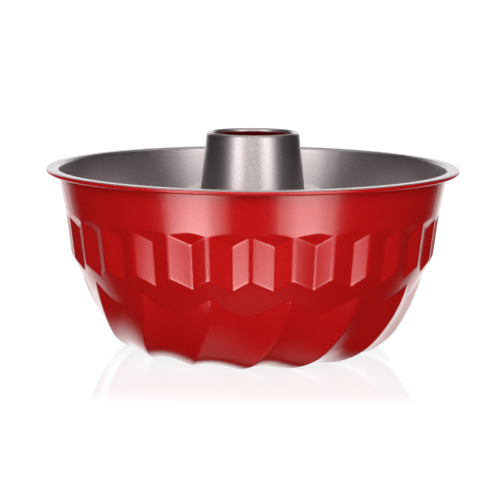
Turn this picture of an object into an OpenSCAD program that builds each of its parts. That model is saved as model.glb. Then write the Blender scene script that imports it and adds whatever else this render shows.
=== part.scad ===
// Fluted ring-cake pan: a thin pressed bowl with a rolled rim, and a conical chimney seamed into its floor.
// The origin is on the table, at the centre of the circle on which the lobes stand. Lengths are in millimetres.

/* [Sheet] */
// Thickness of the sheet steel
sheet_t = 0.6; // [0.5:0.05:0.8]

/* [Rim] */
// Diameter over the rolled edge
rim_d = 220; // [212:1:226]
// Height of the rim's flat top above the table
rim_h = 97.3; // [95:0.1:100]
// How far the rim stands out from the wall
flange_w = 5.9; // [5:0.1:7]
// Diameter of the rolled edge
bead_d = 2.4; // [2:0.1:3]
// Radius of the bend between the wall and the rim
mouth_bend_r = 2; // [1.4:0.1:3]

/* [Plain wall and short grooves] */
// Lean of the plain band from the vertical, in degrees
band_lean = 10.3; // [9:0.1:12]
// Lean of the grooved wall from the vertical, in degrees
wall_lean = 6.84; // [6:0.1:8]
// Number of tall lobes; there are twice as many short grooves
lobes = 15; // [12:1:18]
// Depth of the short grooves' upper ends below the rim
groove_drop = 23.6; // [22:0.1:25]
// Depth of a short groove at its upper end
groove_depth_top = 2; // [1.5:0.1:2.5]
// Depth of a short groove at its lower end
groove_depth_foot = 2.1; // [1.8:0.1:2.6]
// Height of the sloping end facet of a short groove
facet_h = 4.7; // [3.5:0.1:5.5]
// Width of the flat ridge between two short grooves
ridge_w = 1.9; // [1.2:0.1:2.4]
// How far the groove's crease is off its middle, in degrees
crease_shift = 0.8; // [0:0.1:1.2]

/* [Twisted lobes] */
// Height at which the short ridges end and the ledge begins
ledge_h = 51.4; // [50.5:0.1:52.5]
// Height at which the lobes' ridges start
lobe_top_h = 41.8; // [41:0.1:43]
// Slope of the ledge from the vertical, in degrees
ledge_slope = 28.7; // [27.5:0.1:30]
// Slope of the lobes' ridges from the vertical where they start, in degrees
side_slope = 13.2; // [12.5:0.1:14]
// Slope of the lobes' ridges from the vertical where the heel begins, in degrees
heel_slope = 33.5; // [32.5:0.1:35]
// Radius of the gentle curve of the lobes' sides
side_r = 92.6; // [90:0.1:95]
// Depth of the flutes between the lobes at their upper end
flute_depth_top = 2.1; // [1.6:0.1:2.4]
// Depth of the flutes between the lobes near the sole
flute_depth_foot = 2; // [1.6:0.1:2.4]

/* [Floor and seam] */
// Radius of the round turn from the sole up to the seam
toe_r = 12; // [11:0.5:13]
// Radius of the bend between the seam's cone and the flat floor, on the underside
knee_r = 1.5; // [1:0.1:2]
// Height of the floor ring's underside above the table
floor_h = 4; // [3.5:0.1:4.5]
// Radius of the hole in the floor
hole_r = 39; // [38.5:0.1:39.5]
// How far the soles are flattened where they touch the table
sole_flat = 0.12; // [0.05:0.01:0.2]

/* [Chimney] */
// Height of the chimney's lip above the table
chimney_h = 115.4; // [110:0.1:120]
// Outer radius of the chimney just under its lip
chimney_top_r = 24.9; // [24:0.1:25.5]
// Lean of the chimney's wall from the vertical, in degrees
chimney_lean = 5.7; // [5.4:0.1:6.1]
// Inner radius of the turned-in lip
lip_bore_r = 21.6; // [21:0.1:22]
// Length of the lip's straight inner edge
lip_edge_h = 0.6; // [0.3:0.1:1]

/* [Hidden] */
$fn = 180;

// Pitches round the pan
lobe_pitch = 360 / lobes;
groove_pitch = lobe_pitch / 2;
bead_r = bead_d / 2;

// Wall radius at the rim's height, at the top of the short grooves, and at any height z: the plain band above the
// grooves leans out more than the grooved wall below them
rim_wall_r = rim_d / 2 - flange_w;
groove_top_h = rim_h - groove_drop;
groove_top_r = rim_wall_r - groove_drop * tan(band_lean);
function wall_r(z) = groove_top_r + (z - groove_top_h) * tan(z > groove_top_h ? band_lean : wall_lean);

// Heights of the parts of a short groove's upper end
facet_crown = 1.4;
facet_edge = 0.2;

// The profile of the lobes' ridges: the side and heel arcs down to the sole, then the toe arc and a short cone up
// to the knee, where the flat floor begins
function arc_len(r, degrees) = r * degrees * PI / 180;
lobe_top_r = wall_r(ledge_h) - (ledge_h - lobe_top_h) * tan(ledge_slope);
side_drop = side_r * (sin(heel_slope) - sin(side_slope));
heel_r = (lobe_top_h - side_drop) / (1 - sin(heel_slope));
sole_r = lobe_top_r - side_r * (cos(side_slope) - cos(heel_slope)) - heel_r * cos(heel_slope);
heel_s = arc_len(side_r, heel_slope - side_slope);
sole_s = heel_s + arc_len(heel_r, 90 - heel_slope);
cone_len = 2;
toe_and_knee_r = toe_r + knee_r;
toe_angle = acos((toe_and_knee_r - floor_h) / norm([toe_and_knee_r, cone_len])) - atan(cone_len / toe_and_knee_r);
toe_end_r = sole_r - toe_r * sin(toe_angle);
toe_end_h = toe_r * (1 - cos(toe_angle));
toe_end_s = sole_s + arc_len(toe_r, toe_angle);

// Angle of the outward normal below the horizontal, along the profile
function ridge_angle(s) =
    s < heel_s ? side_slope + s / side_r * 180 / PI :
    s < sole_s ? heel_slope + (s - heel_s) / heel_r * 180 / PI :
    90 + min(toe_angle, (s - sole_s) / toe_r * 180 / PI);

// Radius and height along the profile
function ridge_point(s) =
    let (a = ridge_angle(s))
    s < heel_s ?
        [lobe_top_r - side_r * (cos(side_slope) - cos(a)), lobe_top_h - side_r * (sin(a) - sin(side_slope))] :
    s < sole_s ? [sole_r + heel_r * cos(a), heel_r * (1 - sin(a))] :
    s < toe_end_s ? [sole_r + toe_r * cos(a), toe_r * (1 - sin(a))] :
    [toe_end_r - (s - toe_end_s) * cos(toe_angle), toe_end_h + (s - toe_end_s) * sin(toe_angle)];

// Twist of the lobes along the profile, in degrees: slow at the top, faster towards the sole
twist_start = 0.0425;
twist_growth = 0.0051;
function twist(s) = -(twist_start * s + twist_growth * s * s);

// Depth of the flutes along the profile, fading out at the end of the toe
fade_len = 16;
function smooth(t) = let (c = min(1, max(0, t))) c * c * (3 - 2 * c);
function flute_depth(s) =
    (flute_depth_top + (flute_depth_foot - flute_depth_top) * smooth(s / sole_s))
    * smooth((toe_end_s - s) / fade_len);

// Shape of a flute from one ridge (0) to the next (1): deepest a little before its middle
flute_skew = 0.87;
function flute_shape(u) = sin(180 * pow(min(1, max(0, u)), flute_skew));

// Columns round one lobe pitch, in degrees: the edges of the two ridges, the two creases and two more
half_ridge = ridge_w / 2 / rim_wall_r * 180 / PI;
crease_a = groove_pitch / 2 + crease_shift;
crease_b = crease_a + groove_pitch;
columns = [
    -half_ridge, half_ridge, crease_a / 2, crease_a,
    groove_pitch - half_ridge, groove_pitch + half_ridge, crease_b, (crease_b + lobe_pitch) / 2
];
column_count = len(columns) * lobes;
// The first lobe starts one groove past the front, so that a plain ridge faces forwards
function column_angle(i) = columns[i % len(columns)] + lobe_pitch * floor(i / len(columns)) + groove_pitch;

// How far a column is into a short groove: 0 on the ridges, 1 on the crease. Columns at a ridge's edge are on it.
on_ridge = half_ridge * 1.01;
function into_groove(i) =
    let (c = columns[i % len(columns)], a = c > groove_pitch ? c - groove_pitch : c)
    a <= on_ridge || a >= groove_pitch - on_ridge ? 0 :
    a <= crease_a ? (a - half_ridge) / (crease_a - half_ridge) :
    (groove_pitch - half_ridge - a) / (groove_pitch - half_ridge - crease_a);

// How far a column is across a flute: 0 and 1 on the ridges
function across_flute(i) =
    let (c = columns[i % len(columns)])
    c <= on_ridge ? 0 : (c - half_ridge) / (lobe_pitch - 2 * half_ridge);

// Rows down the outer surface. Each function gives [radius, height, twist, normal angle] at a column.
// The first two rows and the last two are plain cones, buried in the revolved wall and floor that they join: a skin
// inside their surface, reaching from just outside the joint to a little way in.
skin = 0.12;
embed = 1.5;
proud = 0.3;
plain_gap = 1;
wall_foot_h = groove_top_h + facet_crown + plain_gap;
cone_cut_s = toe_end_s + cone_len / 2;
function band_row(z) = [wall_r(z) - skin, z, 0, band_lean];
function cone_row(s) =
    let (p = ridge_point(s), a = ridge_angle(s)) [p[0] - skin * cos(a), p[1] + skin * sin(a), twist(toe_end_s), a];
function crown_row(i) =
    let (z = groove_top_h + facet_crown * sin(180 * into_groove(i) / 2)) [wall_r(z) - skin, z, 0, band_lean];
function crease_top_row(i) =
    let (g = into_groove(i), z = groove_top_h - facet_edge - (facet_h - facet_edge) * g)
    [wall_r(z) - groove_depth_top * g - skin, z, 0, wall_lean];
function crease_foot_row(i) =
    let (
        g = into_groove(i),
        drop = groove_depth_foot / (tan(ledge_slope) - tan(wall_lean)),
        z = ledge_h - drop * g
    )
    [wall_r(ledge_h) - (ledge_h - z) * tan(ledge_slope), z, 0, (wall_lean + ledge_slope) / 2];

// Where a flute of a given depth comes out of the ledge's cone, as a distance along the profile
function flute_start(depth) =
    let (turn = sin(ledge_slope - side_slope))
    side_r * (turn - sqrt(max(0, turn * turn - 2 * depth / side_r)));
function flute_row(i, s) =
    let (
        d = flute_depth(s) * flute_shape(across_flute(i)),
        a = ridge_angle(s),
        p = ridge_point(s)
    )
    [p[0] - d * cos(a), max(0, p[1] - sole_flat + d * sin(a)), twist(s), a];
function side_row(i, t) =
    let (start = flute_start(flute_depth_top * flute_shape(across_flute(i))))
    flute_row(i, start + (heel_s - start) * t);

// Rows down the side, the heel and the toe; the soles between heel and toe are flat
side_steps = 4;
heel_steps = 5;
toe_steps = 3;
sole_len = 3;
heel_end = sole_s - sole_len / 2;
toe_start = sole_s + sole_len / 2;
function outer_rows(i) = concat(
    [band_row(wall_foot_h + embed), band_row(wall_foot_h - proud)],
    [crown_row(i), crease_top_row(i), crease_foot_row(i)],
    [for (k = [0 : side_steps]) side_row(i, k / side_steps)],
    [for (k = [1 : heel_steps]) flute_row(i, heel_s + (heel_end - heel_s) * k / heel_steps)],
    [for (k = [0 : toe_steps]) flute_row(i, toe_start + (toe_end_s - toe_start) * k / toe_steps)],
    [cone_row(cone_cut_s - proud), cone_row(toe_end_s + cone_len)]
);
row_count = len(outer_rows(0));

// The inner surface lies one sheet inside the outer one, a little less where the ends are buried
tuck = 2 * skin;
function inner_row(p, t) = [p[0] - t * cos(p[3]), p[1] + t * sin(p[3]), p[2], p[3]];
function place(p, i) =
    let (a = column_angle(i) + p[2] - 90) [p[0] * cos(a), p[0] * sin(a), p[1]];
function row_t(k) = k < 2 || k > row_count - 3 ? sheet_t - tuck : sheet_t;

function quad(a, b, c, d) = [[a, b, c], [a, c, d]];

module fluted_skirt() {
    last = row_count - 1;
    outer = [
        for (i = [0 : column_count - 1])
            let (rows = outer_rows(i))
            for (k = [0 : last]) place(rows[k], i)
    ];
    inner = [
        for (i = [0 : column_count - 1])
            let (rows = outer_rows(i))
            for (k = [0 : last]) place(inner_row(rows[k], row_t(k)), i)
    ];
    n = column_count * row_count;
    function o(i, k) = (i % column_count) * row_count + k;
    function q(i, k) = n + o(i, k);
    faces = [
        for (i = [0 : column_count - 1]) each concat(
            [for (k = [0 : last - 1]) each quad(o(i, k), o(i + 1, k), o(i + 1, k + 1), o(i, k + 1))],
            [for (k = [0 : last - 1]) each quad(q(i, k), q(i, k + 1), q(i + 1, k + 1), q(i + 1, k))],
            quad(o(i, 0), q(i, 0), q(i + 1, 0), o(i + 1, 0)),
            quad(o(i, last), o(i + 1, last), q(i + 1, last), q(i, last))
        )
    ];
    polyhedron(points = concat(outer, inner), faces = faces, convexity = 10);
}

// Points on an arc about a centre, from one angle to another
function arc(c, r, from, to, steps) =
    [for (k = [0 : steps]) let (a = from + (to - from) * k / steps) [c[0] + r * cos(a), c[1] + r * sin(a)]];

bend_steps = 6;
curl_steps = 14;
curl_end = -160;

module rim_and_wall() {
    bend_z = rim_h - mouth_bend_r;
    bend_c = [wall_r(bend_z) + (mouth_bend_r - sheet_t) / cos(band_lean), bend_z];
    bead_c = [rim_d / 2 - bead_r, rim_h - bead_r];
    rotate_extrude()
        polygon(concat(
            [[wall_r(wall_foot_h), wall_foot_h]],
            arc(bend_c, mouth_bend_r - sheet_t, 180 - band_lean, 90, bend_steps),
            arc(bead_c, bead_r - sheet_t, 90, curl_end, curl_steps),
            arc(bead_c, bead_r, curl_end, 90, curl_steps),
            arc(bend_c, mouth_bend_r, 90, 180 - band_lean, bend_steps),
            [[wall_r(wall_foot_h) - sheet_t / cos(band_lean), wall_foot_h]]
        ));
}

// The flat floor round the hole, the knee and the upper half of the cone
knee_steps = 5;

module floor_and_knee() {
    cut = ridge_point(cone_cut_s);
    knee_c = [toe_end_r - cone_len * cos(toe_angle) - knee_r * sin(toe_angle), floor_h - knee_r];
    rotate_extrude()
        polygon(concat(
            [[hole_r, floor_h]],
            arc(knee_c, knee_r, 90, 90 - toe_angle, knee_steps),
            [cut, cut + sheet_t * [sin(toe_angle), cos(toe_angle)]],
            arc(knee_c, knee_r + sheet_t, 90 - toe_angle, 90, knee_steps),
            [[hole_r, floor_h + sheet_t]]
        ));
}

module bowl() {
    color("firebrick") {
        rim_and_wall();
        fluted_skirt();
        floor_and_knee();
    }
}

// The chimney's foot is folded over the edge of the floor's hole: a doubled collar above it, a flare below it
collar_w = 2.6;
flare_w = 2.2;
collar_r = hole_r + collar_w;
flare_r = hole_r + flare_w;
lip_r = (chimney_top_r - lip_bore_r) / 2;
lip_steps = 12;

module centre_tube() {
    lip_c = [lip_bore_r + lip_r, chimney_h - lip_r];
    floor_top = floor_h + sheet_t;
    foot_z = floor_top + 2 * sheet_t;
    wall_top = lip_c + lip_r * [cos(chimney_lean), sin(chimney_lean)];
    wall_foot_r = wall_top[0] + (wall_top[1] - foot_z) * tan(chimney_lean);
    inner_foot_r = wall_foot_r - sheet_t / cos(chimney_lean) + sheet_t * tan(chimney_lean);
    color("silver")
        rotate_extrude()
            polygon(concat(
                [[lip_bore_r, lip_c[1] - lip_edge_h]],
                arc(lip_c, lip_r, 180, chimney_lean, lip_steps),
                [
                    [wall_foot_r, foot_z],
                    [collar_r, foot_z],
                    [collar_r, floor_top],
                    [hole_r, floor_top],
                    [hole_r, floor_h],
                    [flare_r, floor_h],
                    [flare_r, floor_h - sheet_t],
                    [hole_r - sheet_t, floor_h - sheet_t],
                    [hole_r - sheet_t, foot_z - sheet_t],
                    [inner_foot_r, foot_z - sheet_t]
                ],
                arc(lip_c, lip_r - sheet_t, chimney_lean, 180, lip_steps),
                [[lip_bore_r + sheet_t, lip_c[1] - lip_edge_h]]
            ));
}

bowl();
centre_tube();
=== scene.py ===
"""The looks of a fluted ring-cake pan: red metallic lacquer outside, grey non-stick coat inside.

Both pieces replace their plain CAD solids with smooth sheet of the same size. The pieces' lengths are in
millimetres until a mesh is made, the studio's are in metres, and angles are in degrees.
"""

import math

import bpy
import numpy as np
from mathutils import Matrix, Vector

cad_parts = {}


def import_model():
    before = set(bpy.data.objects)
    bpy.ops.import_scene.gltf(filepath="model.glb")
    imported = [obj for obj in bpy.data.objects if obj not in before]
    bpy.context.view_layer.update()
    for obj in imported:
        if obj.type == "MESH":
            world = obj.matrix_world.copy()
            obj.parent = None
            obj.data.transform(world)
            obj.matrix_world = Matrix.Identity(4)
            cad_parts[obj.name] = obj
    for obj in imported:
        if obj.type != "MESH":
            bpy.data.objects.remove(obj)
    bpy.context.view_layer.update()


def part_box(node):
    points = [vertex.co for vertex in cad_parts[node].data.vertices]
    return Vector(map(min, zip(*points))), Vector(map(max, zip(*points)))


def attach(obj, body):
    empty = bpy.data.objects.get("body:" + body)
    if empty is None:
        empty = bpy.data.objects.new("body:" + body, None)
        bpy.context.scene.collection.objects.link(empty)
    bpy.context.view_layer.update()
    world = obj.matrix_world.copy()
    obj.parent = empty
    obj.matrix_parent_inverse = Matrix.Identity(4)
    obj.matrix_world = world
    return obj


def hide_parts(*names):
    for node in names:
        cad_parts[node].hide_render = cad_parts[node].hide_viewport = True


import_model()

MM = 0.001


# ---------------------------------------------------------------- sizes, the same as the CAD part's

bowl_low, bowl_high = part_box("bowl")
tube_low, tube_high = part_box("centre_tube")
RIM_R = min(bowl_high.x, bowl_high.y) / MM
RIM_H = bowl_high.z / MM
CHIMNEY_H = tube_high.z / MM

SHEET = 0.6
FLANGE_W = 5.9
BEAD_R = 1.2
CURL_END = -160
MOUTH_BEND_R = 2.0
BAND_LEAN = 10.3
WALL_LEAN = 6.84
LOBES = 15
GROOVE_DROP = 23.6
FACET_EDGE = 0.2
FACET_H = 4.7
FACET_CROWN = 1.4
GROOVE_DEPTH_TOP = 2.0
GROOVE_DEPTH_FOOT = 2.1
RIDGE_W = 1.9
CREASE_SHIFT = 0.8
LEDGE_H = 51.4
LOBE_TOP_H = 41.8
LEDGE_SLOPE = 28.7
SIDE_SLOPE = 13.2
HEEL_SLOPE = 33.5
SIDE_R = 92.6
FLUTE_DEPTH_TOP = 2.1
FLUTE_DEPTH_FOOT = 2.0
FLUTE_SKEW = 0.87
FLUTE_FADE = 16.0
TWIST_START = 0.0425
TWIST_GROWTH = 0.0051
TOE_R = 12.0
KNEE_R = 1.5
CONE_LEN = 2.0
FLOOR_H = 4.0
HOLE_R = 39.0
SOLE_FLAT = 0.12
CHIMNEY_TOP_R = 24.9
CHIMNEY_LEAN = 5.7
LIP_BORE_R = 21.6
LIP_EDGE_H = 0.6
COLLAR_W = 2.6
FLARE_W = 2.2
FOOT_BEND_R = 1.2
SEAM_EDGE_R = 0.3
LACQUER_EDGE = 0.29  # how far the lacquer comes in over the rolled edge, as a share of the curl's radius

LOBE_PITCH = 360 / LOBES
GROOVE_PITCH = LOBE_PITCH / 2
WALL_R = RIM_R - FLANGE_W
GROOVE_TOP_H = RIM_H - GROOVE_DROP
HALF_RIDGE = math.degrees(RIDGE_W / 2 / WALL_R)


def sin(a):
    return np.sin(np.radians(a))


def cos(a):
    return np.cos(np.radians(a))


def tan(a):
    return np.tan(np.radians(a))


def arc_len(r, degrees):
    return r * math.radians(degrees)


def smooth(t):
    c = np.clip(t, 0, 1)
    return c * c * (3 - 2 * c)


def wall_r(z):
    """The plain band above the grooves leans out more than the grooved wall below them."""
    lean = np.where(z > GROOVE_TOP_H, BAND_LEAN, WALL_LEAN)
    return WALL_R - GROOVE_DROP * tan(BAND_LEAN) + (z - GROOVE_TOP_H) * tan(lean)


# ---------------------------------------------------------------- the lobes' profile

LOBE_TOP_R = wall_r(LEDGE_H) - (LEDGE_H - LOBE_TOP_H) * tan(LEDGE_SLOPE)
HEEL_R = (LOBE_TOP_H - SIDE_R * (sin(HEEL_SLOPE) - sin(SIDE_SLOPE))) / (1 - sin(HEEL_SLOPE))
SOLE_R = LOBE_TOP_R - SIDE_R * (cos(SIDE_SLOPE) - cos(HEEL_SLOPE)) - HEEL_R * cos(HEEL_SLOPE)
TOE_AND_KNEE = TOE_R + KNEE_R
TOE_TO_KNEE = math.hypot(TOE_AND_KNEE, CONE_LEN)
TOE_RISE = math.acos((TOE_AND_KNEE - FLOOR_H) / TOE_TO_KNEE)
TOE_ANGLE = math.degrees(TOE_RISE - math.atan(CONE_LEN / TOE_AND_KNEE))
HEEL_S = arc_len(SIDE_R, HEEL_SLOPE - SIDE_SLOPE)
SOLE_S = HEEL_S + arc_len(HEEL_R, 90 - HEEL_SLOPE)
TOE_END_S = SOLE_S + arc_len(TOE_R, TOE_ANGLE)
TOE_END_R = SOLE_R - TOE_R * sin(TOE_ANGLE)
TOE_END_H = TOE_R * (1 - cos(TOE_ANGLE))


def ridge_angle(s):
    """The outward normal's angle below the horizontal, along the profile."""
    side = SIDE_SLOPE + np.degrees(s / SIDE_R)
    heel = HEEL_SLOPE + np.degrees((s - HEEL_S) / HEEL_R)
    toe = 90 + np.minimum(TOE_ANGLE, np.degrees((s - SOLE_S) / TOE_R))
    return np.where(s < HEEL_S, side, np.where(s < SOLE_S, heel, toe))


def ridge_point(s):
    """Radius and height along the profile: side arc, heel arc, toe arc and a short cone."""
    a = ridge_angle(s)
    past = s - TOE_END_S
    r = np.where(s < SOLE_S, SOLE_R + HEEL_R * cos(a), SOLE_R + TOE_R * cos(a))
    z = np.where(s < SOLE_S, HEEL_R * (1 - sin(a)), TOE_R * (1 - sin(a)))
    r = np.where(s < HEEL_S, LOBE_TOP_R - SIDE_R * (cos(SIDE_SLOPE) - cos(a)), r)
    z = np.where(s < HEEL_S, LOBE_TOP_H - SIDE_R * (sin(a) - sin(SIDE_SLOPE)), z)
    r = np.where(past > 0, TOE_END_R - past * cos(TOE_ANGLE), r)
    z = np.where(past > 0, TOE_END_H + past * sin(TOE_ANGLE), z)
    return r, z


def twist(s):
    return -(TWIST_START * s + TWIST_GROWTH * s * s)


def flute_depth(s):
    full = FLUTE_DEPTH_TOP + (FLUTE_DEPTH_FOOT - FLUTE_DEPTH_TOP) * smooth(s / SOLE_S)
    return full * smooth((TOE_END_S - s) / FLUTE_FADE)


def flute_start(depth):
    """Where a flute of a given depth comes out of the ledge, as a distance along the profile."""
    turn = sin(LEDGE_SLOPE - SIDE_SLOPE)
    return SIDE_R * (turn - np.sqrt(np.maximum(0, turn * turn - 2 * depth / SIDE_R)))


# ---------------------------------------------------------------- columns round the pan

NEAR = (0.2, 0.45)  # degrees either side of a fold at which columns hold its roundness small
FLAT_COLUMNS = 3
TUBE_COLUMNS = 240


def groove_columns(crease):
    """Column angles across one short groove, from the middle of a ridge to just before the next one's."""
    left = [0, HALF_RIDGE - NEAR[0], HALF_RIDGE, HALF_RIDGE + NEAR[0], HALF_RIDGE + NEAR[1]]
    middle = [crease - NEAR[1], crease - NEAR[0], crease, crease + NEAR[0], crease + NEAR[1]]
    right = [GROOVE_PITCH - a for a in reversed(left[1:])]
    before = list(np.linspace(left[-1], middle[0], FLAT_COLUMNS + 2)[1:-1])
    after = list(np.linspace(middle[-1], right[0], FLAT_COLUMNS + 2)[1:-1])
    return left + before + middle + after + right


CREASE = GROOVE_PITCH / 2 + CREASE_SHIFT
one_groove = np.array(groove_columns(CREASE))
one_lobe = np.concatenate([one_groove, one_groove + GROOVE_PITCH])
in_groove = one_lobe % GROOVE_PITCH
groove_folds = [0, HALF_RIDGE, CREASE, GROOVE_PITCH - HALF_RIDGE, GROOVE_PITCH]
into_groove = np.interp(in_groove, groove_folds, [0, 0, 1, 0, 0])
across_flute = np.clip((one_lobe - HALF_RIDGE) / (LOBE_PITCH - 2 * HALF_RIDGE), 0, 1)
GROOVE = np.tile(into_groove, LOBES)
FLUTE = np.tile(sin(180 * across_flute**FLUTE_SKEW), LOBES)
ANGLE = np.concatenate([one_lobe + LOBE_PITCH * i for i in range(LOBES)]) + GROOVE_PITCH - 90
COLUMNS = len(ANGLE)


# ---------------------------------------------------------------- rows down the outer surface

CURL_ROWS = 22
FLANGE_ROWS = 6
BEND_ROWS = 10
FOLD_STEPS = (6, 3, 8, 4)  # for the plain band, the grooves' end facets, the grooves and the ledge
SIDE_STEPS = 18
HEEL_STEPS = 22
TOE_STEPS = 14
CONE_STEPS = 2
KNEE_ROWS = 7
FLOOR_ROWS = 3
FOLD_NEAR = (0.35, 0.8)  # distances from a fold at which rows hold its roundness small
FOLD_SHARE = (0.12, 0.3)  # and the most they may be of a short stretch
SHORTEST = 1e-6
EASING_PASSES = 2


def row(r, z, turn=0.0):
    """Radius, height and twist at each column."""
    return np.stack([np.broadcast_to(v, COLUMNS).astype(float) for v in (r, z, turn)], axis=1)


def arc_points(c, radius, start, stop, count):
    return [(c[0] + radius * cos(a), c[1] + radius * sin(a)) for a in np.linspace(start, stop, count)]


def arc_rows(c, radius, start, stop, count):
    return [row(r, z) for r, z in arc_points(c, radius, start, stop, count)]


def between(a, b, steps):
    """Rows from a up to but not including b, with two close to each end so that its fold stays small."""
    span = np.maximum(np.linalg.norm(b[:, :2] - a[:, :2], axis=1), SHORTEST)[:, None]
    near = np.minimum(FOLD_NEAR[0] / span, FOLD_SHARE[0])
    far = np.minimum(FOLD_NEAR[1] / span, FOLD_SHARE[1])
    middle = [far + (1 - 2 * far) * k / steps for k in range(1, steps)]
    return [a + (b - a) * t for t in [0 * near, near, far] + middle + [1 - far, 1 - near]]


def flute_row(s):
    s = np.broadcast_to(s, COLUMNS)
    r, z = ridge_point(s)
    a = ridge_angle(s)
    d = flute_depth(s) * FLUTE
    return row(r - d * cos(a), np.maximum(0, z - SOLE_FLAT + d * sin(a)), twist(s))


def outer_rows():
    """The outer surface from the curled edge down to the hole, and where its eased folds start and stop."""
    bead_c = (RIM_R - BEAD_R, RIM_H - BEAD_R)
    bend_z = RIM_H - MOUTH_BEND_R
    bend_c = (wall_r(bend_z) + (MOUTH_BEND_R - SHEET) / cos(BAND_LEAN), bend_z)
    rows = arc_rows(bead_c, BEAD_R - SHEET, CURL_END, 90, CURL_ROWS)
    flange = np.linspace(bead_c[0], bend_c[0], FLANGE_ROWS + 2)[1:-1]
    rows += [row(r, RIM_H - SHEET) for r in flange]
    rows += arc_rows(bend_c, MOUTH_BEND_R - SHEET, 90, 180 - BAND_LEAN, BEND_ROWS)

    # The folds that follow: the bend's end, the grooves' crowns, their creases' upper ends, the ledge's top
    # and the flutes' start
    crown_z = GROOVE_TOP_H + FACET_CROWN * sin(90 * GROOVE)
    facet_z = GROOVE_TOP_H - FACET_EDGE - (FACET_H - FACET_EDGE) * GROOVE
    ledge_drop = GROOVE_DEPTH_FOOT / (tan(LEDGE_SLOPE) - tan(WALL_LEAN))
    ledge_z = LEDGE_H - ledge_drop * GROOVE
    folds = [
        row(wall_r(rows[-1][0, 1]), rows[-1][0, 1]),
        row(wall_r(crown_z), crown_z),
        row(wall_r(facet_z) - GROOVE_DEPTH_TOP * GROOVE, facet_z),
        row(wall_r(LEDGE_H) - (LEDGE_H - ledge_z) * tan(LEDGE_SLOPE), ledge_z),
    ]
    start_s = flute_start(FLUTE_DEPTH_TOP * FLUTE)
    folds.append(flute_row(start_s))
    soft_from = len(rows)
    rows = rows[:-1]
    for (a, b), steps in zip(zip(folds, folds[1:]), FOLD_STEPS):
        rows += between(a, b, steps)
    rows += [folds[-1]] + [flute_row(start_s + d) for d in FOLD_NEAR]
    side_s = start_s + FOLD_NEAR[1]
    rows += [flute_row(side_s + (HEEL_S - side_s) * k / SIDE_STEPS) for k in range(1, SIDE_STEPS)]
    rows += [flute_row(HEEL_S + (SOLE_S - HEEL_S) * k / HEEL_STEPS) for k in range(HEEL_STEPS)]
    rows += [flute_row(SOLE_S + (TOE_END_S - SOLE_S) * k / TOE_STEPS) for k in range(TOE_STEPS)]
    soft_to = len(rows)
    knee_c = (TOE_END_R - CONE_LEN * cos(TOE_ANGLE) - KNEE_R * sin(TOE_ANGLE), FLOOR_H - KNEE_R)
    turn = twist(TOE_END_S)
    for k in range(CONE_STEPS):
        rows.append(row(*ridge_point(np.array(TOE_END_S + CONE_LEN * k / CONE_STEPS)), turn))
    for knee in arc_rows(knee_c, KNEE_R, 90 - TOE_ANGLE, 90, KNEE_ROWS):
        knee[:, 2] = turn
        rows.append(knee)
    rows += [row(r, FLOOR_H, turn) for r in np.linspace(knee_c[0], HOLE_R, FLOOR_ROWS + 1)[1:]]
    return np.array(rows), soft_from, soft_to


def placed(rows):
    a = ANGLE + rows[:, :, 2]
    return np.stack([rows[:, :, 0] * cos(a), rows[:, :, 0] * sin(a), rows[:, :, 1]], axis=2)


def softened(points, first, last):
    """One pass that eases the folds between two rows as a press does: first round the pan, then down it."""
    around = points.copy()
    band = points[first:last]
    around[first:last] = (np.roll(band, 1, axis=1) + 2 * band + np.roll(band, -1, axis=1)) / 4
    down = around.copy()
    above = around[first - 1 : last - 1]
    below = around[first + 1 : last + 1]
    down[first:last] = (above + 2 * around[first:last] + below) / 4
    return down


def grid_normals(points):
    along = np.gradient(points, axis=0)
    around = np.roll(points, -1, axis=1) - np.roll(points, 1, axis=1)
    n = np.cross(around, along)
    return n / np.linalg.norm(n, axis=2, keepdims=True)


# ---------------------------------------------------------------- meshes

SHARP_FOLD = 40
LIP_POINTS = 17
FOOT_POINTS = 6
EDGE_POINTS = 5


def mesh_piece(name, points, faces, materials, slots):
    mesh = bpy.data.meshes.new(name)
    mesh.from_pydata((points.reshape(-1, 3) * MM).tolist(), [], faces.tolist())
    for m in materials:
        mesh.materials.append(m)
    mesh.polygons.foreach_set("material_index", slots.astype(np.int32))
    mesh.polygons.foreach_set("use_smooth", np.ones(len(faces), bool))
    mesh.update()
    mesh.set_sharp_from_angle(angle=math.radians(SHARP_FOLD))
    piece = bpy.data.objects.new(name, mesh)
    bpy.context.scene.collection.objects.link(piece)
    return piece


def loop_faces(rows, columns):
    """Quads over a grid that closes round its columns and over its rows."""
    i = np.arange(rows)[:, None]
    j = np.arange(columns)[None, :]
    k = (i + 1) % rows
    n = (j + 1) % columns
    quads = np.stack([i * columns + j, k * columns + j, k * columns + n, i * columns + n], axis=2)
    return quads.reshape(-1, 4)


def make_bowl(lacquer, coat):
    """The sheet's outer surface and then its inner one, closed at the hole and at the curl's end."""
    rows, first, last = outer_rows()
    outer = placed(rows)
    for _ in range(EASING_PASSES):
        outer = softened(outer, first, last)
    outer[:, :, 2] = np.clip(outer[:, :, 2], 0, None)
    inner = outer + grid_normals(outer) * SHEET
    count = len(outer)
    points = np.concatenate([outer, inner[::-1]])
    faces = loop_faces(2 * count, COLUMNS)
    slots = np.zeros((2 * count, COLUMNS), int)
    bead_side = np.hypot(inner[:, 0, 0], inner[:, 0, 1]) > RIM_R - LACQUER_EDGE * BEAD_R
    bead_under = inner[:, 0, 2] < RIM_H - BEAD_R
    grey = ~(bead_side | (bead_under & (np.arange(count) < CURL_ROWS)))
    slots[count:][grey[::-1]] = 1
    return mesh_piece("bowl_shell", points, faces, [lacquer, coat], slots.reshape(-1))


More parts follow.
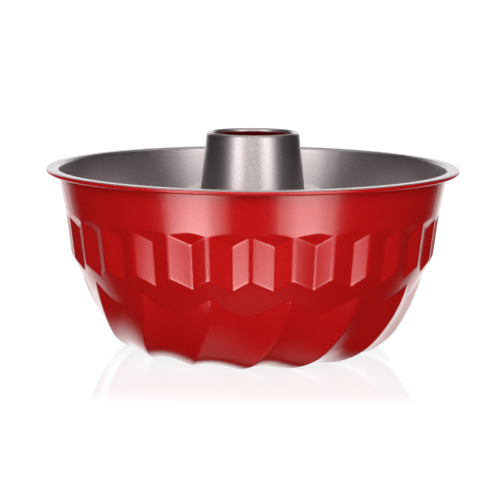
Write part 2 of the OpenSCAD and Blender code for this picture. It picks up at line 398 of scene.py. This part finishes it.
def make_tube(lacquer, coat):
    """The chimney, with its turned-in lip and its foot folded over the edge of the floor's hole."""
    lip_r = (CHIMNEY_TOP_R - LIP_BORE_R) / 2
    lip_c = (LIP_BORE_R + lip_r, CHIMNEY_H - lip_r)
    floor_top = FLOOR_H + SHEET
    foot_z = floor_top + 2 * SHEET
    wall_top = (lip_c[0] + lip_r * cos(CHIMNEY_LEAN), lip_c[1] + lip_r * sin(CHIMNEY_LEAN))
    wall_foot = wall_top[0] + (wall_top[1] - foot_z) * tan(CHIMNEY_LEAN)
    inner_foot = wall_foot - SHEET / cos(CHIMNEY_LEAN) + SHEET * tan(CHIMNEY_LEAN)
    foot_c = (wall_foot + FOOT_BEND_R, foot_z + FOOT_BEND_R)
    collar = HOLE_R + COLLAR_W
    flare = HOLE_R + FLARE_W
    collar_c = (collar - SEAM_EDGE_R, foot_z - SEAM_EDGE_R)
    flare_c = (flare - SEAM_EDGE_R, FLOOR_H - SHEET + SEAM_EDGE_R)
    outside = (
        [(LIP_BORE_R, lip_c[1] - LIP_EDGE_H)]
        + arc_points(lip_c, lip_r, 180, CHIMNEY_LEAN, LIP_POINTS)
        + [(wall_foot - FOOT_BEND_R * tan(CHIMNEY_LEAN), foot_c[1])]
        + arc_points(foot_c, FOOT_BEND_R, 180, 270, FOOT_POINTS)[1:]
        + arc_points(collar_c, SEAM_EDGE_R, 90, 0, EDGE_POINTS)
        + [(collar, floor_top)]
    )
    underside = (
        [(HOLE_R, floor_top), (HOLE_R, FLOOR_H), (flare, FLOOR_H)]
        + arc_points(flare_c, SEAM_EDGE_R, 0, -90, EDGE_POINTS)
        + [(HOLE_R - SHEET, FLOOR_H - SHEET), (HOLE_R - SHEET, foot_z - SHEET)]
        + [(inner_foot, foot_z - SHEET)]
        + arc_points(lip_c, lip_r - SHEET, CHIMNEY_LEAN, 180, LIP_POINTS)
        + [(LIP_BORE_R + SHEET, lip_c[1] - LIP_EDGE_H)]
    )
    profile = np.array([(float(r), float(z)) for r, z in outside + underside])
    turn = np.linspace(0, 360, TUBE_COLUMNS, endpoint=False)
    heights = np.broadcast_to(profile[:, 1:], (len(profile), TUBE_COLUMNS))
    points = np.stack([profile[:, :1] * cos(turn), profile[:, :1] * sin(turn), heights], axis=2)
    faces = loop_faces(len(profile), TUBE_COLUMNS)
    slots = np.zeros((len(profile), TUBE_COLUMNS), int)
    slots[1 : len(outside)] = 1
    return mesh_piece("chimney", points, faces, [lacquer, coat], slots.reshape(-1))


# ---------------------------------------------------------------- materials

NOISE_RANGE = (0.3, 0.7)  # nearly all of a noise lies in it
# The dark red that painted shade darkens the lacquer towards
PAINTED_SHADE_RED = (0.02, 0.004, 0.006)


def node_material(name):
    m = bpy.data.materials.new(name)
    m.use_nodes = True
    tree = m.node_tree
    shader = tree.nodes["Principled BSDF"]
    where = tree.nodes.new("ShaderNodeTexCoord")
    return m, tree, shader, where.outputs["Object"]


def noise(tree, where, scale, detail):
    n = tree.nodes.new("ShaderNodeTexNoise")
    n.inputs["Scale"].default_value = scale
    n.inputs["Detail"].default_value = detail
    tree.links.new(where, n.inputs["Vector"])
    return n.outputs["Fac"]


def spread(tree, fac, low, high):
    """A noise spread between two values."""
    n = tree.nodes.new("ShaderNodeMapRange")
    for name, number in zip(("From Min", "From Max", "To Min", "To Max"), (*NOISE_RANGE, low, high)):
        n.inputs[name].default_value = number
    tree.links.new(fac, n.inputs["Value"])
    return n.outputs["Result"]


def mixed(tree, fac, a, b):
    """A blend of two colours, each of them a constant or another node's output."""
    n = tree.nodes.new("ShaderNodeMix")
    n.data_type = "RGBA"
    for socket, value in (("A", a), ("B", b)):
        target = [s for s in n.inputs if s.name == socket and s.type == "RGBA"][0]
        if isinstance(value, tuple):
            target.default_value = (*value, 1)
        else:
            tree.links.new(value, target)
    tree.links.new(fac, n.inputs["Factor"])
    return [s for s in n.outputs if s.type == "RGBA"][0]


def bump(tree, height, distance, below=None):
    """Relief a given distance deep, in metres, on top of another relief if there is one below."""
    n = tree.nodes.new("ShaderNodeBump")
    n.inputs["Distance"].default_value = distance
    n.inputs["Strength"].default_value = 1.0
    tree.links.new(height, n.inputs["Height"])
    if below is not None:
        tree.links.new(below, n.inputs["Normal"])
    return n.outputs["Normal"]


def red_lacquer(name, light):
    """Sparkling red under a glossy clear coat. With light below 1, painted shade darkens all its colours
    towards a dark red, keeping the share light of the full colour.
    """
    m, tree, shader, where = node_material(name)
    low, high, spark = (
        tuple(light * full + (1 - light) * dark for full, dark in zip(colour, PAINTED_SHADE_RED))
        for colour in ((0.64, 0.002, 0.003), (0.7, 0.003, 0.004), (0.9, 0.01, 0.01))
    )
    cloud = noise(tree, where, scale=25, detail=3)
    peel = noise(tree, where, scale=450, detail=2)
    grain = noise(tree, where, scale=1500, detail=2)
    body = mixed(tree, spread(tree, cloud, 0, 1), low, high)
    tree.links.new(mixed(tree, spread(tree, grain, 0.1, 0.65), body, spark), shader.inputs["Base Color"])
    tree.links.new(spread(tree, grain, 0.3, 0.4), shader.inputs["Roughness"])
    shader.inputs["Metallic"].default_value = 0.03
    shader.inputs["Specular IOR Level"].default_value = 0.0
    shader.inputs["Coat Weight"].default_value = 1.0
    shader.inputs["Coat Roughness"].default_value = 0.16
    shader.inputs["Coat IOR"].default_value = 1.7
    fine = bump(tree, grain, distance=0.000034)
    relief = bump(tree, peel, distance=0.00001, below=fine)
    tree.links.new(relief, shader.inputs["Normal"])
    tree.links.new(relief, shader.inputs["Coat Normal"])
    return m


def grey_nonstick():
    """A fine-grained grey coat with a metallic sheen."""
    m, tree, shader, where = node_material("grey_nonstick")
    cloud = noise(tree, where, scale=30, detail=3)
    grain = noise(tree, where, scale=1600, detail=3)
    body = mixed(tree, spread(tree, cloud, 0, 1), (0.42, 0.365, 0.37), (0.5, 0.435, 0.44))
    colour = mixed(tree, spread(tree, grain, 0, 0.7), body, (0.8, 0.7, 0.71))
    tree.links.new(colour, shader.inputs["Base Color"])
    tree.links.new(spread(tree, grain, 0.3, 0.42), shader.inputs["Roughness"])
    shader.inputs["Metallic"].default_value = 0.95
    shader.inputs["Coat Weight"].default_value = 0.6
    shader.inputs["Coat Roughness"].default_value = 0.25
    tree.links.new(bump(tree, grain, distance=0.00003), shader.inputs["Normal"])
    return m


# ---------------------------------------------------------------- studio

PALE_FLOOR = (0.58, 0.58, 0.58)
PATCHY_FLOOR = (0.574, 0.574, 0.574)
FLOOR_TO_CAMERA = (0.25, 0.25, 0.25)
FLOOR_GLOW = 1.06
FLOOR_SIZE = 6
MIRROR_SHARE = 0.25
MIRROR_COLOUR = (0.68, 1, 1, 1)
MIRROR_ROUGHNESS = 0.05
MIRROR_FADE = (-0.17, -0.1)
MIRROR_REACH = (0.2, 0.28)

SOFTBOX_DISTANCE = 1.2
SOFTBOX_LOW = -0.82
SOFTBOX_HIGH = 1.1
# Shares of a softbox's width or height over which its light changes
SOFT_EDGE = 0.45
SOFT_FOOT = 0.1
WAIST = (0.165, 0.205)
HEAD = (0.3, 0.42)
CROWN = (0.58, 0.7)

# The backdrop and the ground, in components of the direction they are seen in
BACKDROP_GLOW = 1.35
BACKDROP_SPREAD = 0.5
BACKDROP_SHIFT = -0.04
BACKDROP_EDGE = (0.81, 1.02)
BACKDROP_TOP = (0.25, 0.5)
BACKDROP_FOOT = (-0.85, -0.67)
ROOM_GLOW = 0.01
GROUND_GLOW = 0.28
GROUND_EDGE = (-0.87, -1.0)


def smooth_step(tree, value, start, stop, low, high):
    """An eased change from low to high as the value goes from start to stop."""
    n = tree.nodes.new("ShaderNodeMapRange")
    n.interpolation_type = "SMOOTHSTEP"
    for name, number in (("From Min", start), ("From Max", stop), ("To Min", low), ("To Max", high)):
        n.inputs[name].default_value = number
    tree.links.new(value, n.inputs["Value"])
    return n.outputs["Result"]


def combined(tree, operation, a, b):
    n = tree.nodes.new("ShaderNodeMath")
    n.operation = operation
    tree.links.new(a, n.inputs[0])
    tree.links.new(b, n.inputs[1])
    return n.outputs[0]


def scaled_sum(tree, a, factor, b):
    """A value times a factor, plus another value."""
    n = tree.nodes.new("ShaderNodeMath")
    n.operation = "MULTIPLY_ADD"
    tree.links.new(a, n.inputs[0])
    n.inputs[1].default_value = factor
    tree.links.new(b, n.inputs[2])
    return n.outputs[0]


def axes(tree, coordinates):
    n = tree.nodes.new("ShaderNodeSeparateXYZ")
    tree.links.new(coordinates, n.inputs[0])
    return n.outputs


def stage_plane(name, width, depth, material):
    mesh = bpy.data.meshes.new(name)
    w = width / 2
    d = depth / 2
    mesh.from_pydata([(-w, -d, 0), (w, -d, 0), (w, d, 0), (-w, d, 0)], [], [(0, 1, 2, 3)])
    mesh.materials.append(material)
    plane = bpy.data.objects.new(name, mesh)
    bpy.context.scene.collection.objects.link(plane)
    return plane


def floor():
    """White acrylic, a little brighter to the camera, as a table lit from below is. It mirrors the pan
    faintly, and the mirroring fades out towards the front and away from the pan."""
    m, tree, shader, where = node_material("floor")
    path = tree.nodes.new("ShaderNodeLightPath")
    to_camera = path.outputs["Is Camera Ray"]
    colour = mixed(tree, noise(tree, where, scale=3, detail=2), PALE_FLOOR, PATCHY_FLOOR)
    tree.links.new(mixed(tree, to_camera, colour, FLOOR_TO_CAMERA), shader.inputs["Base Color"])
    shader.inputs["Specular IOR Level"].default_value = 0.0
    shader.inputs["Emission Color"].default_value = (1, 1, 1, 1)
    glow = smooth_step(tree, to_camera, 0, 1, 0, FLOOR_GLOW)
    tree.links.new(glow, shader.inputs["Emission Strength"])
    mirror = tree.nodes.new("ShaderNodeBsdfGlossy")
    mirror.inputs["Roughness"].default_value = MIRROR_ROUGHNESS
    mirror.inputs["Color"].default_value = MIRROR_COLOUR
    away = tree.nodes.new("ShaderNodeVectorMath")
    away.operation = "LENGTH"
    tree.links.new(where, away.inputs[0])
    from_front = smooth_step(tree, axes(tree, where)["Y"], *MIRROR_FADE, 0, MIRROR_SHARE)
    near_pan = smooth_step(tree, away.outputs["Value"], *MIRROR_REACH, 1, 0)
    both = tree.nodes.new("ShaderNodeMixShader")
    tree.links.new(combined(tree, "MULTIPLY", from_front, near_pan), both.inputs["Fac"])
    tree.links.new(shader.outputs[0], both.inputs[1])
    tree.links.new(mirror.outputs[0], both.inputs[2])
    tree.links.new(both.outputs[0], tree.nodes["Material Output"].inputs["Surface"])
    plane = stage_plane("floor", FLOOR_SIZE, FLOOR_SIZE, m)
    plane.visible_glossy = False


def softbox(name, azimuth, width, foot, waist, head, crown):
    """An upright softbox with soft edges. Its azimuth is in degrees to the right of the front, and foot,
    waist, head and crown are its radiances from the bottom up."""
    m = bpy.data.materials.new(name)
    m.use_nodes = True
    tree = m.node_tree
    tree.nodes.clear()
    output = tree.nodes.new("ShaderNodeOutputMaterial")
    glow = tree.nodes.new("ShaderNodeEmission")
    tree.links.new(glow.outputs[0], output.inputs["Surface"])
    where = axes(tree, tree.nodes.new("ShaderNodeTexCoord").outputs["Generated"])
    from_side = tree.nodes.new("ShaderNodeMath")
    from_side.operation = "PINGPONG"
    from_side.inputs[1].default_value = 0.5
    tree.links.new(where["X"], from_side.inputs[0])
    across = smooth_step(tree, from_side.outputs[0], 0, SOFT_EDGE, 0, 1)
    radiance = smooth_step(tree, where["Y"], 0, SOFT_FOOT, 0, foot)
    for (start, stop), change in ((WAIST, waist - foot), (HEAD, head - waist), (CROWN, crown - head)):
        radiance = combined(tree, "ADD", radiance, smooth_step(tree, where["Y"], start, stop, 0, change))
    tree.links.new(combined(tree, "MULTIPLY", across, radiance), glow.inputs["Strength"])
    plane = stage_plane(name, width, SOFTBOX_HIGH - SOFTBOX_LOW, m)
    plane.matrix_world = (
        Matrix.Rotation(math.radians(azimuth), 4, "Z")
        @ Matrix.Translation((0, -SOFTBOX_DISTANCE, (SOFTBOX_LOW + SOFTBOX_HIGH) / 2))
        @ Matrix.Rotation(math.radians(90), 4, "X")
    )
    plane.visible_camera = False
    plane.visible_shadow = False


def area_light(name, width, height, radiance, place, tilt):
    """An even rectangle of light. Untilted, it shines straight down."""
    light = bpy.data.lights.new(name, "AREA")
    light.shape = "RECTANGLE"
    light.size = width
    light.size_y = height
    light.energy = radiance * math.pi * width * height
    lamp = bpy.data.objects.new(name, light)
    lamp.location = place
    lamp.rotation_euler = (math.radians(tilt), 0, 0)
    lamp.visible_camera = False
    bpy.context.scene.collection.objects.link(lamp)


def world():
    """A white backdrop that runs down behind the pan, and a dark room at its sides and in front. The camera
    sees white all round."""
    w = bpy.data.worlds.new("studio")
    bpy.context.scene.world = w
    w.use_nodes = True
    tree = w.node_tree
    background = tree.nodes["Background"]
    background.inputs["Color"].default_value = (1, 1, 1, 1)
    where = axes(tree, tree.nodes.new("ShaderNodeTexCoord").outputs["Generated"])
    slant = tree.nodes.new("ShaderNodeMath")
    slant.operation = "ABSOLUTE"
    tree.links.new(where["Z"], slant.inputs[0])
    widened = scaled_sum(tree, slant.outputs[0], BACKDROP_SPREAD, where["Y"])
    leftward = scaled_sum(tree, where["X"], BACKDROP_SHIFT, widened)
    behind = smooth_step(tree, leftward, *BACKDROP_EDGE, 0, BACKDROP_GLOW)
    top_end = smooth_step(tree, where["Z"], *BACKDROP_TOP, 1, 0)
    foot_end = smooth_step(tree, where["Z"], *BACKDROP_FOOT, 0, 1)
    beneath = smooth_step(tree, where["Z"], *GROUND_EDGE, ROOM_GLOW, GROUND_GLOW)
    backdrop = combined(tree, "MULTIPLY", behind, combined(tree, "MULTIPLY", foot_end, top_end))
    to_camera = tree.nodes.new("ShaderNodeLightPath").outputs["Is Camera Ray"]
    studio = combined(tree, "ADD", backdrop, beneath)
    tree.links.new(combined(tree, "MAXIMUM", studio, to_camera), background.inputs["Strength"])


def camera():
    """Looks a little down on the pan from the front. Climb and around place it, and the others aim it."""
    data = bpy.data.cameras.new("camera")
    data.lens = 110.44
    data.sensor_width = 36
    data.clip_end = 20
    cam = bpy.data.objects.new("camera", data)
    distance = 0.8227
    climb = math.radians(6.301)
    around = math.radians(0.4)
    below_rim = math.radians(3.159)
    pan = math.radians(0.085)
    roll = math.radians(0.361)
    cam.matrix_world = (
        Matrix.Rotation(around, 4, "Z")
        @ Matrix.Translation((0, -distance * math.cos(climb), RIM_H * MM + distance * math.sin(climb)))
        @ Matrix.Rotation(pan, 4, "Z")
        @ Matrix.Rotation(math.radians(90) - climb - below_rim, 4, "X")
        @ Matrix.Rotation(roll, 4, "Z")
    )
    bpy.context.scene.collection.objects.link(cam)
    bpy.context.scene.camera = cam


lacquer = red_lacquer("red_lacquer", light=1.0)
# The bore is red lacquer, as the real chimney's is; its darker colours are painted shade for the dim inside
# of the bore
bore_lacquer_painted_shade = red_lacquer("bore_lacquer_painted_shade", light=0.35)
coat = grey_nonstick()
for piece, node, slot in (
    (make_bowl(lacquer, coat), "bowl", "red_lacquer"),
    (make_tube(bore_lacquer_painted_shade, coat), "centre_tube", "grey_nonstick"),
):
    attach(piece, "root")
    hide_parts(node)

floor()
softbox("left_softbox", azimuth=-34.8, width=0.97, foot=7.4, waist=1.3, head=2.35, crown=3.4)
softbox("right_softbox", azimuth=33.8, width=1.06, foot=5.7, waist=1.15, head=2.35, crown=3.0)
area_light("front_fill", width=0.9, height=0.83, radiance=1.65, place=(0, -1.3, 0.735), tilt=90)
area_light("top_light", width=1.4, height=1.4, radiance=0.85, place=(0, 0, 1.2), tilt=0)
world()
camera()
bpy.context.scene.view_settings.view_transform = "Standard"
